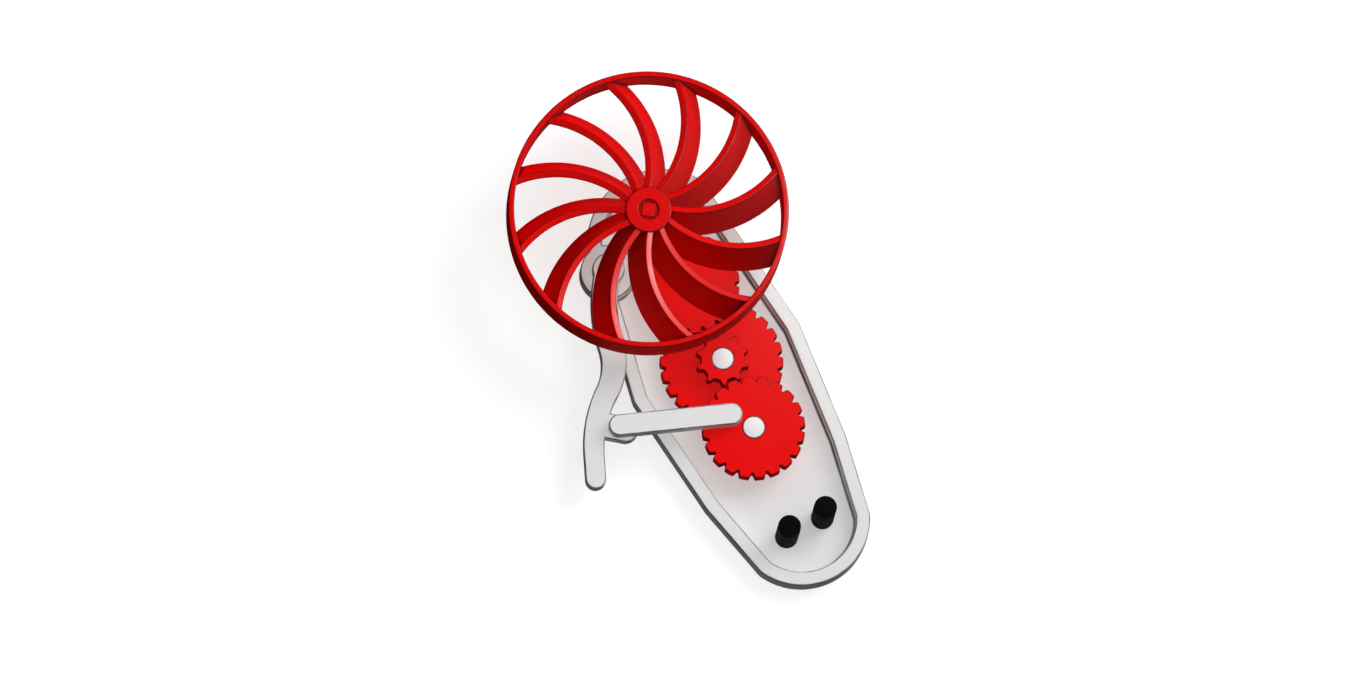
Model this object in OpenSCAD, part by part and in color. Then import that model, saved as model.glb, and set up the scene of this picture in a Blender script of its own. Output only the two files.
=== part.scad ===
// Hand squeeze fan: a lever and link turn a crank gear, and a three-stage
// gear train in an open grip tray spins the fan wheel in front of it.
// It lies on its back: +Z leaves the front, +Y runs from the grip to the fan,
// and the origin is on the back face, near the middle of the grip's round end.

/* [Tray] */
// Full thickness of the tray, back face to rim
tray_depth = 7.5; // [6:0.1:10]
// Thickness of the tray floor
floor_t = 2; // [1.5:0.1:3]
// Thickness of the rim wall, seen from the front
wall_t = 4.15; // [2.5:0.05:5]
// Radius of the round grip end
grip_r = 20.4; // [17:0.1:22]
// Height of the round grip end's centre above the origin
grip_rise = 0.7; // [0:0.1:2]
// Angle below that centre's level at which the straight sides meet the round end
grip_side_angle = 25; // [20:0.5:32]
// Half width where the grip's straight sides change slope
grip_half_w = 23.5; // [21:0.1:26]
// Height of that change of slope above the origin
grip_corner_y = 16; // [10:0.5:20]
// Room between the big gear and the right rim wall at its widest place
right_room = 3.4; // [1.5:0.1:6]
// Room between the big gear and the left rim wall at its widest place
left_room = 6.3; // [2:0.1:8]
// Distance of the right shoulder below the middle axle
right_shoulder_drop = 0.8; // [-4:0.1:4]
// Distance of the left shoulder above the middle axle
left_shoulder_rise = 1.7; // [-4:0.1:4]
// Width from the fan axis to the tray's right side, beside the axis
fan_right_w = 21.7; // [18:0.1:22]
// Width from the fan axis to the tray's left side, beside the axis
fan_left_w = 18.5; // [15:0.1:18.5]
// Radius of the round fan end
fan_end_r = 22.3; // [22:0.1:26]
// Sideways offset of the fan end's centre from the fan axis
fan_end_dx = 2; // [0:0.1:3]
// Distance of the fan end's centre below the fan axis
fan_end_drop = 7.6; // [5:0.1:10]
// Radius of the ear that carries the lever
ear_r = 8.1; // [6:0.1:8.5]
// How far the lever pivot lies inside the fan end's round edge
ear_inset = 3.8; // [2:0.05:4.5]
// Direction of the ear from the fan end's centre
ear_angle = 179.7; // [172:0.1:190]

/* [Gears] */
// Tooth module of every gear
tooth_module = 1.5; // [1.45:0.05:1.6]
// Thickness of a gear
gear_t = 4.9; // [4:0.1:6]
// Teeth of the crank gear and of the upper gear
wheel_teeth = 20; // [20:1:21]
// Teeth of the middle pinion and of the fan pinion
pinion_teeth = 10; // [10:1:11]
// Teeth of the big gear behind the middle pinion
big_teeth = 24; // [23:1:24]
// Teeth of the pinion behind the upper gear
upper_pinion_teeth = 9; // [9:1:10]
// Direction of one notch of the crank gear
crank_notch_angle = -30.5; // [-40:0.5:40]
// Direction of one notch of the big gear
big_notch_angle = 8.75; // [-10:0.25:10]
// Direction of one notch of the upper gear
upper_notch_angle = -29.2; // [-40:0.2:40]

/* [Axles] */
// Height of the crank axle above the origin
crank_axle_y = 30.4; // [28:0.1:36]
// Direction from the crank axle to the middle axle
crank_to_middle_angle = 85.3; // [80:0.1:100]
// Direction from the middle axle to the upper axle
middle_to_upper_angle = 85.5; // [80:0.1:100]
// Direction from the upper axle to the fan axis
upper_to_fan_angle = 95.6; // [80:0.1:100]
// Radius of the fixed gear axles
axle_r = 3.3; // [2.5:0.05:3.6]

/* [Lever] */
// Thickness of the lever
lever_t = 4.7; // [4:0.1:7]
// Direction in which the lever leaves its pivot
lever_angle = 227; // [220:0.5:232]
// Turn of the lever's first curve, towards the tray
first_turn = 32; // [20:0.5:36]
// Length of the first curve
first_len = 23; // [19:0.1:27]
// Turn of the second curve, away from the tray
second_turn = 44.5; // [35:0.5:50]
// Length of the second curve
second_len = 14.5; // [12:0.1:18]
// Turn of the third curve, towards the tray
third_turn = 30.5; // [22:0.5:36]
// Length of the third curve
third_len = 19.6; // [17:0.1:24]
// Length of the lever's straight end
lever_end_len = 7.2; // [4:0.1:20]
// Width of the lever along its first curve
lever_upper_w = 7.9; // [6:0.1:9]
// Width of the lever's straight end
lever_lower_w = 6.1; // [5:0.1:8]
// Radius of the lever's round pivot end
lever_eye_r = 4.8; // [4:0.1:6]
// Radius of the lever's pivot pin
lever_pin_r = 2; // [1.5:0.05:2.5]
// Distance of the link pin from the lever's centre line
lug_len = 6.8; // [5.5:0.1:9]
// Place of the lug along the third curve, 0 at its start and 1 at its end
lug_place = 0.52; // [0.3:0.02:0.7]
// Radius of the lug's round end
lug_r = 3.8; // [3:0.1:4.5]
// Distance of the round end's centre past the link pin
lug_over = 2; // [0:0.1:3]

/* [Link] */
// Width of the link
link_w = 6.4; // [6:0.1:8]
// Thickness of the link
link_t = 4.7; // [4:0.1:6]
// Front skin of the link over its two blind holes
link_skin = 1.5; // [1:0.1:2]
// Radius of the pin between lever and link
link_pin_r = 1.5; // [1:0.05:2]
// Distance of the crank pin from the crank axle
crank_r = 7.44; // [6:0.05:9]
// Direction of the crank pin from the crank axle
crank_angle = 126; // [110:0.5:140]
// Radius of the crank pin
crank_pin_r = 0.8; // [0.6:0.05:0.9]
// Side play of the crank pin in the link's pocket
crank_pin_play = 1.8; // [1.5:0.05:1.85]
// Length play of the crank pin in the link's pocket
crank_pin_slide = 1.2; // [1:0.1:3]

/* [Fan] */
// Outer radius of the fan ring
ring_r = 41.5; // [36:0.5:46]
// Wall of the fan ring
ring_wall = 1.75; // [1.2:0.05:3]
// Depth of the fan wheel
fan_depth = 13.3; // [10:0.1:16]
// Radius of the fan hub
hub_r = 6.8; // [6:0.1:9]
// Number of blades
blade_count = 12; // [8:1:14]
// Thickness of a blade
blade_t = 2.1; // [1.2:0.1:2.5]
// Radius of the blades' curve at the front
blade_curve_r = 32; // [30:0.5:40]
// Distance at which that curve passes the fan axis
blade_offset = 2.4; // [1.5:0.1:3]
// Tilt of the blades from the fan axis
blade_pitch = 21.7; // [15:0.1:25]
// Direction from the fan axis to the centre of one blade's curve
blade_angle = 10; // [0:0.5:30]
// Distance of the blades' edges inside the ring's two faces
blade_inset = 0.3; // [0.2:0.05:1]
// Distance from the fan axis at which a blade starts inside the hub
blade_root_r = 4.5; // [4:0.1:5]
// Radius of the recess in the hub's front
hub_recess_r = 3; // [2.9:0.05:4]
// Depth of that recess
hub_recess_depth = 2.5; // [1:0.1:4]
// Side of the shaft's square
square_w = 4; // [3.4:0.1:4]
// Direction of the shaft's square
square_angle = -35; // [-45:0.5:45]
// Radius of the shaft's round journal
journal_r = 2; // [1.6:0.05:2]
// Radius of the shaft's shoulder behind the hub
shoulder_r = 4; // [3.5:0.1:5]
// Outer radius of the fan bush
bush_r = 4.5; // [3.5:0.1:5.5]

/* [Posts] */
// Radius of the two posts
post_r = 3.4; // [2.5:0.05:4]
// Height of the posts above the floor
post_h = 18.4; // [10:0.1:20]
// Distance between the posts
post_spacing = 12.1; // [10:0.1:14]
// Distance of the posts from the grip's round edge
post_edge = 18; // [14:0.1:20]
// Radius of the spigot under each post
spigot_r = 2; // [1.5:0.1:2.4]

/* [Fits] */
// Gap between faces that run past each other
face_gap = 0.3; // [0.2:0.05:0.5]
// Radial gap of a running fit
run_gap = 0.05; // [0.03:0.01:0.08]
// Radial gap of a fixed fit
seat_gap = 0.02; // [0.01:0.01:0.03]

/* [Hidden] */
$fn = 96;
through = 1;
curve_steps = 8;
tray_colour = "#dcdcdc";
gear_colour = "#e00d0d";
post_colour = "#111111";
pin_colour = "#b9bcc0";

// Tooth proportions, in modules
wheel_addendum = tooth_module / 6;
pinion_addendum = tooth_module / 3;
tooth_depth = tooth_module;
wheel_tip_w = 1.8 * tooth_module;
pinion_tip_w = 0.6 * tooth_module;
flank_w = tooth_module / 2;
pinion_root_w = 1.45 * tooth_module;
notch_root_w = 0.27 * tooth_module;

// Layers, from the back face
back_z = floor_t + face_gap;
big_front_z = back_z + gear_t;
front_z = big_front_z + face_gap;
gear_front_z = front_z + gear_t;
lever_z = tray_depth + face_gap;
link_z = max(lever_z + lever_t, gear_front_z) + face_gap;
link_front_z = link_z + link_t;
fan_z = link_front_z + face_gap;
fan_front_z = fan_z + fan_depth;
link_hole_z = link_front_z - link_skin;

// Axle places
function dir(a) = [cos(a), sin(a)];
function pitch_r(teeth) = teeth * tooth_module / 2;
crank_axle_at = [0, crank_axle_y];
middle_axle_at = crank_axle_at
    + (pitch_r(wheel_teeth) + pitch_r(pinion_teeth)) * dir(crank_to_middle_angle);
upper_axle_at = middle_axle_at
    + (pitch_r(big_teeth) + pitch_r(upper_pinion_teeth)) * dir(middle_to_upper_angle);
fan_axis_at = upper_axle_at
    + (pitch_r(wheel_teeth) + pitch_r(pinion_teeth)) * dir(upper_to_fan_angle);

// Tooth angles that put each pinion in mesh with its wheel
function meshed_notch(line, wheel_n, wheel_notch, pinion_n) =
    line + 180 - (wheel_notch - line) * wheel_n / pinion_n + 180 / pinion_n;
middle_pinion_notch =
    meshed_notch(crank_to_middle_angle, wheel_teeth, crank_notch_angle, pinion_teeth);
upper_pinion_notch =
    meshed_notch(middle_to_upper_angle, big_teeth, big_notch_angle, upper_pinion_teeth);
fan_pinion_notch =
    meshed_notch(upper_to_fan_angle, wheel_teeth, upper_notch_angle, pinion_teeth);

// Gear radii and the room they leave for the crank gear's spacer
big_tip_r = pitch_r(big_teeth) + wheel_addendum;
spacer_r = norm(middle_axle_at - crank_axle_at) - big_tip_r - face_gap;

// Tray outline
grip_at = [0, grip_rise];
fan_end_at = fan_axis_at + [fan_end_dx, -fan_end_drop];
cap_y = fan_end_at.y + fan_end_r + through;
right_grip_corner = [grip_half_w, grip_corner_y];
left_grip_corner = [-grip_half_w, grip_corner_y];
right_shoulder =
    middle_axle_at + [big_tip_r + right_room + wall_t, -right_shoulder_drop];
left_shoulder =
    middle_axle_at + [-big_tip_r - left_room - wall_t, left_shoulder_rise];
function reach(from, to, y) = from + (to - from) * (y - from.y) / (to.y - from.y);
right_top = reach(right_shoulder, fan_axis_at + [fan_right_w, 0], cap_y);
left_top = reach(left_shoulder, fan_axis_at - [fan_left_w, 0], cap_y);
function left_of(from, to) = let (v = (to - from) / norm(to - from)) [-v.y, v.x];
function inset_corner(before, at, after, d) =
    let (n = left_of(before, at), m = left_of(at, after)) at + d * (n + m) / (1 + n * m);
right_grip_low = 2 * (grip_at + grip_r * dir(-grip_side_angle)) - right_grip_corner;
left_grip_low = 2 * (grip_at + grip_r * dir(180 + grip_side_angle)) - left_grip_corner;
function foot(at, from, to) =
    let (v = (to - from) / norm(to - from)) from + ((at - from) * v) * v;
grip_cut_y = foot(grip_at, right_grip_low, right_grip_corner).y;

// Lever path: three curves and a straight end, as [point, direction, width] stations
pivot_at = fan_end_at + (fan_end_r - ear_inset) * dir(ear_angle);
function on_curve(from, a, turn, length, f) = from
    + length / turn * 180 / PI * [sin(a + f * turn) - sin(a), cos(a) - cos(a + f * turn)];
second_angle = lever_angle + first_turn;
third_angle = second_angle - second_turn;
end_angle = third_angle + third_turn;
second_from = on_curve(pivot_at, lever_angle, first_turn, first_len, 1);
third_from = on_curve(second_from, second_angle, -second_turn, second_len, 1);
end_from = on_curve(third_from, third_angle, third_turn, third_len, 1);
lever_end_at = end_from + lever_end_len * dir(end_angle);
lever_mid_w = (lever_upper_w + lever_lower_w) / 2;
function curve_stations(from, a, turn, length, w0, w1) = [
    for (i = [0 : curve_steps - 1])
        let (f = i / curve_steps)
        [on_curve(from, a, turn, length, f), a + f * turn, w0 + f * (w1 - w0)]
];
lever_stations = concat(
    curve_stations(pivot_at, lever_angle, first_turn, first_len, lever_upper_w, lever_upper_w),
    curve_stations(second_from, second_angle, -second_turn, second_len, lever_upper_w, lever_mid_w),
    curve_stations(third_from, third_angle, third_turn, third_len, lever_mid_w, lever_lower_w),
    [[end_from, end_angle, lever_lower_w], [lever_end_at, end_angle, lever_lower_w]]
);
function lever_edge(side) = [for (s = lever_stations) s[0] + side * s[2] / 2 * dir(s[1] + 90)];
function reversed(list) = [for (i = [len(list) - 1 : -1 : 0]) list[i]];

// Link pins
lug_from = on_curve(third_from, third_angle, third_turn, third_len, lug_place);
lug_angle = third_angle + lug_place * third_turn + 90;
link_pin_at = lug_from + lug_len * dir(lug_angle);
lug_end_at = link_pin_at + lug_over * dir(lug_angle);
crank_pin_at = crank_axle_at + crank_r * dir(crank_angle);
link_run = crank_pin_at - link_pin_at;
link_dir = link_run / norm(link_run);
pocket_half_w = crank_pin_r + crank_pin_play;

// Fan blade section: its centre line leans out by the pitch, front to back
blade_len = (fan_depth - 2 * blade_inset - blade_t * sin(blade_pitch)) / cos(blade_pitch);
blade_lean = [sin(blade_pitch), -cos(blade_pitch)];
blade_across = [cos(blade_pitch), sin(blade_pitch)];
blade_front = [blade_curve_r, fan_front_z - blade_inset - blade_t / 2 * sin(blade_pitch)];
blade_centre_r = blade_curve_r + blade_offset;
blade_reach = 2 * sqrt(blade_centre_r * (blade_curve_r - blade_t));
blade_root_turn = 2 * asin(sqrt(blade_root_r ^ 2 - blade_offset ^ 2) / blade_reach);
blade_tip_turn = 2 * asin(ring_r / blade_reach);

// Flat bar with round ends between two points
module rounded_bar(from, to, w) {
    run = to - from;
    translate(from) rotate(atan2(run.y, run.x)) translate([0, -w / 2]) square([norm(run), w]);
    translate(from) circle(d = w);
    translate(to) circle(d = w);
}

// Round pin standing between two heights
module pin(at, r, z0, z1) {
    translate([at.x, at.y, z0]) cylinder(r = r, h = z1 - z0);
}

// Tray outline, moved inwards by a distance
module tray_outline(d) {
    difference() {
        polygon([
            right_grip_low + d * left_of(right_grip_low, right_grip_corner),
            inset_corner(right_grip_low, right_grip_corner, right_shoulder, d),
            inset_corner(right_grip_corner, right_shoulder, right_top, d),
            inset_corner(right_shoulder, right_top, left_top, d),
            inset_corner(right_top, left_top, left_shoulder, d),
            inset_corner(left_top, left_shoulder, left_grip_corner, d),
            inset_corner(left_shoulder, left_grip_corner, left_grip_low, d),
            left_grip_low + d * left_of(left_grip_corner, left_grip_low)
        ]);
        difference() {
            translate([left_top.x - fan_end_r, fan_end_at.y])
                square([right_top.x - left_top.x + 2 * fan_end_r, 2 * fan_end_r]);
            translate(fan_end_at) circle(r = fan_end_r - d);
        }
        difference() {
            translate([-grip_half_w, grip_cut_y - 3 * grip_r])
                square([2 * grip_half_w, 3 * grip_r]);
            translate(grip_at) circle(r = grip_r - d);
        }
    }
}

// Tooth corner: half a tooth's width to one side of its middle, at a radius
function tooth_corner(middle, r, w, side) = r * dir(middle + side * w / 2 / r * 180 / PI);

// Toothed disc from its tooth widths at the root, halfway up and at the tip
module toothed_disc(teeth, tip_r, tip_w, root_w, notch_angle) {
    root_r = tip_r - tooth_depth;
    half_r = tip_r - tooth_depth / 2;
    sides = [[root_r, root_w], [half_r, tip_w + flank_w], [tip_r, tip_w]];
    polygon([
        for (k = [0 : teeth - 1])
            let (middle = notch_angle + (k + 0.5) * 360 / teeth)
            each concat(
                [for (s = sides) tooth_corner(middle, s[0], s[1], -1)],
                [tip_r * dir(middle)],
                [for (s = reversed(sides)) tooth_corner(middle, s[0], s[1], 1)]
            )
    ]);
}

// Wheel with wide teeth and narrow notches
module wheel_shape(teeth, notch_angle) {
    tip_r = pitch_r(teeth) + wheel_addendum;
    root_w = 2 * PI * (tip_r - tooth_depth) / teeth - notch_root_w;
    toothed_disc(teeth, tip_r, wheel_tip_w, root_w, notch_angle);
}

// Pinion with slim teeth
module pinion_shape(teeth, notch_angle) {
    toothed_disc(teeth, pitch_r(teeth) + pinion_addendum, pinion_tip_w, pinion_root_w, notch_angle);
}

// Gear of a shape on its axle, with a running bore
module axle_gear(at, z0, z1) {
    difference() {
        translate([at.x, at.y, z0]) linear_extrude(z1 - z0) children();
        pin(at, axle_r + run_gap, z0 - through, z1 + through);
    }
}

module body_tray() {
    color(tray_colour) difference() {
        linear_extrude(tray_depth) {
            tray_outline(0);
            translate(pivot_at) circle(r = ear_r);
        }
        translate([0, 0, floor_t]) linear_extrude(tray_depth) difference() {
            tray_outline(wall_t);
            translate(pivot_at) circle(r = ear_r);
        }
        for (at = [crank_axle_at, middle_axle_at, upper_axle_at])
            pin(at, axle_r + seat_gap, -through, floor_t + through);
        pin(fan_axis_at, bush_r + seat_gap, -through, floor_t + through);
        pin(pivot_at, lever_pin_r + seat_gap, -through, tray_depth + through);
        for (side = [-1, 1])
            pin(post_at(side), spigot_r + seat_gap, -through, floor_t + through);
    }
}

// Post on the grip's left (-1) or right (1)
function post_at(side) = grip_at + [side * post_spacing / 2, post_edge - grip_r];
module post(side) {
    color(post_colour) {
        pin(post_at(side), post_r, floor_t, floor_t + post_h);
        pin(post_at(side), spigot_r, 0, floor_t + seat_gap);
    }
}
module post_left() { post(-1); }
module post_right() { post(1); }

module crank_axle() { color(tray_colour) pin(crank_axle_at, axle_r, 0, gear_front_z); }
module middle_axle() { color(tray_colour) pin(middle_axle_at, axle_r, 0, gear_front_z); }
module upper_axle() { color(tray_colour) pin(upper_axle_at, axle_r, 0, gear_front_z); }

// Sleeve that lifts the crank gear into the front layer
module crank_spacer() {
    color(tray_colour) difference() {
        pin(crank_axle_at, spacer_r, floor_t, front_z - face_gap);
        pin(crank_axle_at, axle_r + seat_gap, floor_t - through, front_z + through);
    }
}

// Bearing of the fan shaft, seated through the floor
module fan_bush() {
    color(tray_colour) difference() {
        pin(fan_axis_at, bush_r, 0, front_z - face_gap);
        pin(fan_axis_at, journal_r + run_gap, -through, front_z + through);
    }
}

module lever_pin() { color(tray_colour) pin(pivot_at, lever_pin_r, 0, lever_z + lever_t); }

module lever() {
    color(tray_colour) translate([0, 0, lever_z]) linear_extrude(lever_t) difference() {
        union() {
            polygon(concat(lever_edge(-1), reversed(lever_edge(1))));
            translate(pivot_at) circle(r = lever_eye_r);
            translate(lever_end_at) circle(d = lever_lower_w);
            translate(lug_from) rotate(lug_angle) translate([0, -lug_r])
                square([lug_len + lug_over, 2 * lug_r]);
            translate(lug_end_at) circle(r = lug_r);
        }
        translate(pivot_at) circle(r = lever_pin_r + run_gap);
        translate(link_pin_at) circle(r = link_pin_r + seat_gap);
    }
}

module link_pin() { color(pin_colour) pin(link_pin_at, link_pin_r, lever_z, link_hole_z - face_gap); }

// Link with a running blind hole on the link pin and a loose blind pocket
// over the crank pin, where the linkage is open
module link() {
    color(tray_colour) difference() {
        translate([0, 0, link_z]) linear_extrude(link_t)
            rounded_bar(link_pin_at, crank_pin_at, link_w);
        pin(link_pin_at, link_pin_r + run_gap, link_z - through, link_hole_z);
        translate([0, 0, link_z - through]) linear_extrude(link_hole_z - link_z + through)
            rounded_bar(crank_pin_at - crank_pin_slide * link_dir, crank_pin_at, 2 * pocket_half_w);
    }
}

module crank_gear() {
    color(gear_colour) difference() {
        axle_gear(crank_axle_at, front_z, gear_front_z) wheel_shape(wheel_teeth, crank_notch_angle);
        pin(crank_pin_at, crank_pin_r + seat_gap, front_z - through, gear_front_z + through);
    }
}

module crank_pin() { color(pin_colour) pin(crank_pin_at, crank_pin_r, front_z, link_hole_z - face_gap); }

module big_gear() {
    color(gear_colour) axle_gear(middle_axle_at, back_z, big_front_z)
        wheel_shape(big_teeth, big_notch_angle);
}

module middle_pinion() {
    color(gear_colour) axle_gear(middle_axle_at, big_front_z, gear_front_z)
        pinion_shape(pinion_teeth, middle_pinion_notch);
}

module upper_pinion() {
    color(gear_colour) axle_gear(upper_axle_at, back_z, front_z)
        pinion_shape(upper_pinion_teeth, upper_pinion_notch);
}

module upper_gear() {
    color(gear_colour) axle_gear(upper_axle_at, front_z, gear_front_z)
        wheel_shape(wheel_teeth, upper_notch_angle);
}

// Square bar on the fan axis, grown by a gap on each face
module fan_square(z0, z1, gap) {
    w = square_w + 2 * gap;
    translate([fan_axis_at.x, fan_axis_at.y, z0]) rotate(square_angle)
        translate([-w / 2, -w / 2, 0]) cube([w, w, z1 - z0]);
}

module fan_pinion() {
    color(gear_colour) difference() {
        translate([fan_axis_at.x, fan_axis_at.y, front_z]) linear_extrude(gear_t)
            pinion_shape(pinion_teeth, fan_pinion_notch);
        fan_square(front_z - through, gear_front_z + through, seat_gap);
    }
}

// Shaft with a round journal, a square for pinion and hub, and a shoulder between them
module fan_shaft() {
    color(gear_colour) {
        pin(fan_axis_at, journal_r, 0, front_z);
        fan_square(front_z, fan_front_z - face_gap, 0);
        pin(fan_axis_at, shoulder_r, gear_front_z, fan_z);
    }
}

// Blade: a leaning flat section swept round the blade's own curve
module blade() {
    back = blade_front + blade_len * blade_lean;
    half = blade_t / 2 * blade_across;
    translate([blade_centre_r, 0, 0]) rotate(180 + blade_root_turn)
        rotate_extrude(angle = blade_tip_turn - blade_root_turn)
            polygon([blade_front - half, back - half, back + half, blade_front + half]);
}

module fan_wheel() {
    color(gear_colour) translate([fan_axis_at.x, fan_axis_at.y, 0]) difference() {
        union() {
            translate([0, 0, fan_z]) cylinder(r = hub_r, h = fan_depth);
            translate([0, 0, fan_z]) difference() {
                cylinder(r = ring_r, h = fan_depth);
                translate([0, 0, -through]) cylinder(r = ring_r - ring_wall, h = fan_depth + 2 * through);
            }
            for (k = [0 : blade_count - 1])
                rotate(blade_angle + k * 360 / blade_count) intersection() {
                    blade();
                    translate([0, 0, fan_z - through])
                        cylinder(r = ring_r - ring_wall / 2, h = fan_depth + 2 * through);
                }
        }
        translate([0, 0, fan_front_z - hub_recess_depth])
            cylinder(r = hub_recess_r, h = hub_recess_depth + through);
        translate([-fan_axis_at.x, -fan_axis_at.y, 0])
            fan_square(fan_z - through, fan_front_z, seat_gap);
    }
}

body_tray();
post_left();
post_right();
crank_axle();
middle_axle();
upper_axle();
crank_spacer();
fan_bush();
lever_pin();
lever();
link_pin();
link();
crank_gear();
crank_pin();
big_gear();
middle_pinion();
upper_pinion();
upper_gear();
fan_pinion();
fan_shaft();
fan_wheel();
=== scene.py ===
"""Looks of a hand squeeze fan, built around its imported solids.

The tray, the gear train, the squeeze linkage and the fan wheel are modelled again
with rounded moulded edges, in the place of the solids that they stand for. Sizes are
in millimetres in the part's own frame, and a mesh becomes metres when it is finished.
"""

from __future__ import annotations

import logging
import math
from collections.abc import Iterable, Sequence
from dataclasses import dataclass, replace
from enum import Enum

import bmesh
import bpy
from mathutils import Matrix, Vector

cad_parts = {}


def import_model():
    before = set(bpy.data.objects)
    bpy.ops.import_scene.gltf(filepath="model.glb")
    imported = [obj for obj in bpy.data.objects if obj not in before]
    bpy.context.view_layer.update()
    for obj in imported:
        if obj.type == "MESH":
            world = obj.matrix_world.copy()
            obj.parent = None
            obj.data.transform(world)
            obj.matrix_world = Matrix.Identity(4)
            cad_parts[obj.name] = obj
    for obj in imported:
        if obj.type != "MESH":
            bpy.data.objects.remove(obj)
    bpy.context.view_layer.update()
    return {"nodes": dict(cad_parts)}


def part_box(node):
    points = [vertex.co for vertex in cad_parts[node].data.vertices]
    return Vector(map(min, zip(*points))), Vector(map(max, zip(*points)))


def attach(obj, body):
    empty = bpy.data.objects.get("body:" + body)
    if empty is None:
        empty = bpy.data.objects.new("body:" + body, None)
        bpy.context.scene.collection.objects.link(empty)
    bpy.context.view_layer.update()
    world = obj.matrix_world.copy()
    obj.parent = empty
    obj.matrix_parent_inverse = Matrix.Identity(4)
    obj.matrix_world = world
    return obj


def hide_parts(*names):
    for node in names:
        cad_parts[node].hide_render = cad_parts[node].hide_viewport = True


LOG = logging.getLogger("squeeze_fan")

MM = 0.001
UP = Vector((0.0, 0.0, 1.0))

# Steps of a rounded edge, a full circle and a bar's round end.
ROUND_STEPS = 3
CIRCLE_STEPS = 96
END_STEPS = 24

# From these angles on, an edge is rounded, shaded as a crease, not flat, or not straight.
SHARP_ANGLE = math.radians(40)
CREASE_ANGLE = math.radians(35)
FLAT_ANGLE = math.radians(0.3)
STRAIGHT_ANGLE = math.radians(1.5)

# Points this near are merged, edges this short can't be rounded, and heights this near
# are one level.
MERGE_MM = 0.005
SHORT_MM = 0.3
HEIGHT_SLACK = 0.01

# How far a cutter stands out, and the gaps round turning and seated pieces.
THROUGH = 1.0
RUN_GAP = 0.05
SEAT_GAP = 0.02

# Pieces and sizes that several sub-assemblies share.
AXLES = ("crank_axle", "middle_axle", "upper_axle")
AXLE_R = 3.3
LEVER_PIN_R = 2.0
SQUARE_W = 4.0
SQUARE_ANGLE = -35.0

# The part of a noise's range that is spread over a whole mask.
WIDE_BAND = (0.3, 0.7)
NARROW_BAND = (0.35, 0.65)

Triple = tuple[float, float, float]
Colour = Triple
Point = tuple[float, float]
Mesh = bmesh.types.BMesh
Corner = bmesh.types.BMVert
Element = Corner | bmesh.types.BMEdge | bmesh.types.BMFace
Socket = bpy.types.NodeSocket
Values = dict[str, float | Sequence[float]]


class Joining(Enum):
    """How two solids are put together."""

    UNION = "UNION"
    DIFFERENCE = "DIFFERENCE"


class EdgeKind(Enum):
    """Which way the faces at an edge turn."""

    OUTER = "outer"
    INNER = "inner"


class Combine(Enum):
    """How two values of a finish become one."""

    SUM = "ADD"
    PRODUCT = "MULTIPLY"
    GREATER = "MAXIMUM"


class Slot(Enum):
    """The record's material slots."""

    WHITE = "tray_white"
    RED = "gear_red"
    BLACK = "post_black"
    STEEL = "pin_steel"


def flat(degrees: float) -> Vector:
    """Unit vector at an angle in the front plane."""
    turn = math.radians(degrees)
    return Vector((math.cos(turn), math.sin(turn)))


def left_of(start: Vector, end: Vector) -> Vector:
    """Unit vector to the left of the way from one point to another."""
    way = (end - start).normalized()
    return Vector((-way.y, way.x))


def arc(centre: Vector, radius: float, start: float, end: float, steps: int) -> list[Vector]:
    """Points along an arc with both ends, from one angle in degrees to another."""
    return [centre + radius * flat(start + (end - start) * k / steps) for k in range(steps + 1)]


def stadium(start: Vector, end: Vector, width: float) -> list[Vector]:
    """Outline of a flat bar with round ends.

    Args:
        start: Middle of the first round end.
        end: Middle of the second round end.
        width: Width of the bar.

    Returns:
        The outline, turning left.
    """
    run = end - start
    angle = math.degrees(math.atan2(run.y, run.x))
    far = arc(end, width / 2, angle - 90, angle + 90, END_STEPS)
    near = arc(start, width / 2, angle + 90, angle + 270, END_STEPS)
    return far + near


def place_of(node: str) -> Vector:
    """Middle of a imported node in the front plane, in millimetres."""
    low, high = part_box(node)
    return Vector(((low.x + high.x) / 2, (low.y + high.y) / 2)) / MM


def layer_of(node: str) -> tuple[float, float]:
    """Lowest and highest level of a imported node, in millimetres."""
    low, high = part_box(node)
    return low.z / MM, high.z / MM


def verts_of(geom: Iterable[Element]) -> list[Corner]:
    """Points among the elements that a mesh operator gave back."""
    return [g for g in geom if isinstance(g, Corner)]


def put(name: str, data: bpy.types.ID) -> bpy.types.Object:
    """Puts an object with some data into the scene.

    Args:
        name: Name of the object.
        data: Its mesh, light or camera.

    Returns:
        The object, at the origin.
    """
    made = bpy.data.objects.new(name, data)
    bpy.context.scene.collection.objects.link(made)
    return made


def put_mesh(name: str, mesh: Mesh) -> bpy.types.Object:
    """Puts an object with a copy of a mesh into the scene.

    Args:
        name: Name of the object and of its mesh.
        mesh: The mesh to copy.

    Returns:
        The object, at the origin.
    """
    data = bpy.data.meshes.new(name)
    mesh.to_mesh(data)
    return put(name, data)


def draw_section(mesh: Mesh, corners: list[Corner], free: list[Corner], round_r: float) -> None:
    """Draws a closed section with rounded corners and no face.

    Args:
        mesh: The mesh to draw in.
        corners: Corners of the section, in order.
        free: Those of them that are rounded.
        round_r: Radius of their rounding.
    """
    mesh.faces.new(corners)
    bmesh.ops.bevel(
        mesh, geom=free, offset=round_r, offset_type="OFFSET", segments=ROUND_STEPS,
        profile=0.5, affect="VERTICES", material=-1,
    )
    bmesh.ops.delete(mesh, geom=mesh.faces[:], context="FACES_ONLY")


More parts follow.
